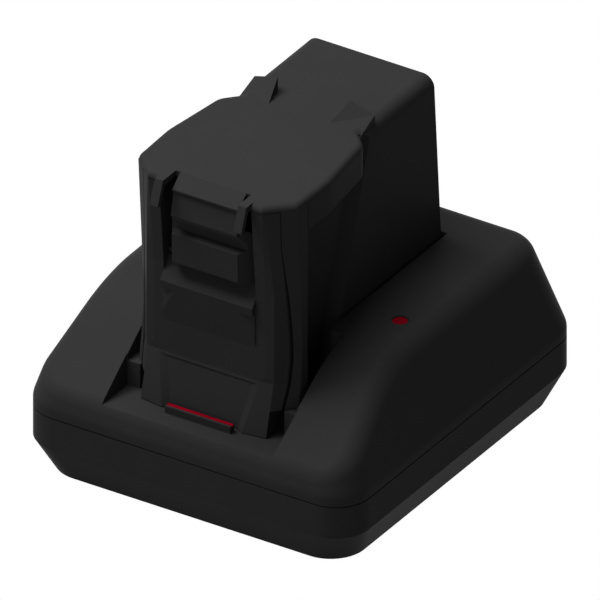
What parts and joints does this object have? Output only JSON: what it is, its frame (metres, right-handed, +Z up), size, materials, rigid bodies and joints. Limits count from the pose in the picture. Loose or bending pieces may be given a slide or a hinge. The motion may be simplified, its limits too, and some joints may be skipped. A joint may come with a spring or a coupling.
{
  "type": "power tool battery charger",
  "caption": "Table charger for a power tool battery, with the tall battery pack seated in its stepped bay.",
  "frame": {"origin": "centre of the footprint on the table", "axes": "+X to the right seen from the front, +Y to the back, +Z up"},
  "size_m": [0.1738, 0.194, 0.1717],
  "materials": {
    "charger_black": "satin black moulded plastic",
    "red_lens": "clear red lens",
    "foot_rubber": "soft black rubber",
    "screw_steel": "zinc plated steel",
    "board_green": "green solder mask",
    "ferrite": "sintered ferrite",
    "copper": "enamelled copper wire",
    "capacitor_sleeve": "dark blue sleeve",
    "sink_aluminium": "extruded aluminium",
    "chip_black": "black moulding compound",
    "fuse_white": "ceramic fuse in clips",
    "inlet_black": "black socket body",
    "contact_brass": "tinned brass",
    "lamp_clear": "lamp",
    "battery_black": "satin black moulded plastic",
    "cell_sleeve": "blue cell sleeve",
    "holder_grey": "grey flame-retardant plastic",
    "nickel": "nickel strip",
    "window_smoke": "smoked lens",
    "lever_black": "satin black moulded plastic"
  },
  "bodies": {
    "charger": {"upper_shell": "charger_black", "lower_shell": "charger_black", "light_bar": "red_lens", "status_window": "red_lens", "rubber_feet": "foot_rubber", "case_screws": "screw_steel", "main_board": "board_green", "board_screws": "screw_steel", "transformer_core": "ferrite", "transformer_winding": "copper", "mains_capacitors": "capacitor_sleeve", "heat_sink": "sink_aluminium", "power_transistors": "chip_black", "filter_choke": "copper", "fuse": "fuse_white", "mains_inlet": "inlet_black", "inlet_pins": "contact_brass", "terminal_block": "inlet_black", "contact_blades": "contact_brass", "status_led": "lamp_clear", "bar_leds": "board_green"},
    "battery": {"battery_case": "battery_black", "battery_front_cover": "battery_black", "battery_base": "battery_black", "base_screws": "screw_steel", "cells": "cell_sleeve", "cell_holder_front": "holder_grey", "cell_holder_rear": "holder_grey", "bus_strips_front": "nickel", "bus_strips_rear": "nickel", "battery_board": "board_green", "battery_terminals": "contact_brass", "lever_pin": "screw_steel", "gauge_board": "board_green", "gauge_window": "window_smoke"},
    "release_lever": {"release_lever": "lever_black", "lever_spring": "screw_steel"},
    "gauge_button": {"gauge_button": "lever_black"}
  },
  "joints": [
    {"name": "battery_lift", "type": "slide", "parent": "charger", "child": "battery", "axis": [0, 0, 1], "range_m": [0, 0.06]},
    {"name": "lever_squeeze", "type": "hinge", "parent": "battery", "child": "release_lever", "pos_m": [0, -0.0705, 0.1232], "axis": [-1, 0, 0], "range_deg": [0, 8], "stiffness_Nm_per_rad": 0.6, "springref_deg": -8.59},
    {"name": "button_press", "type": "slide", "parent": "battery", "child": "gauge_button", "axis": [0, -1, 0], "range_m": [0, 0.0012], "stiffness_N_per_m": 800, "springref_m": -0.0008}
  ]
}
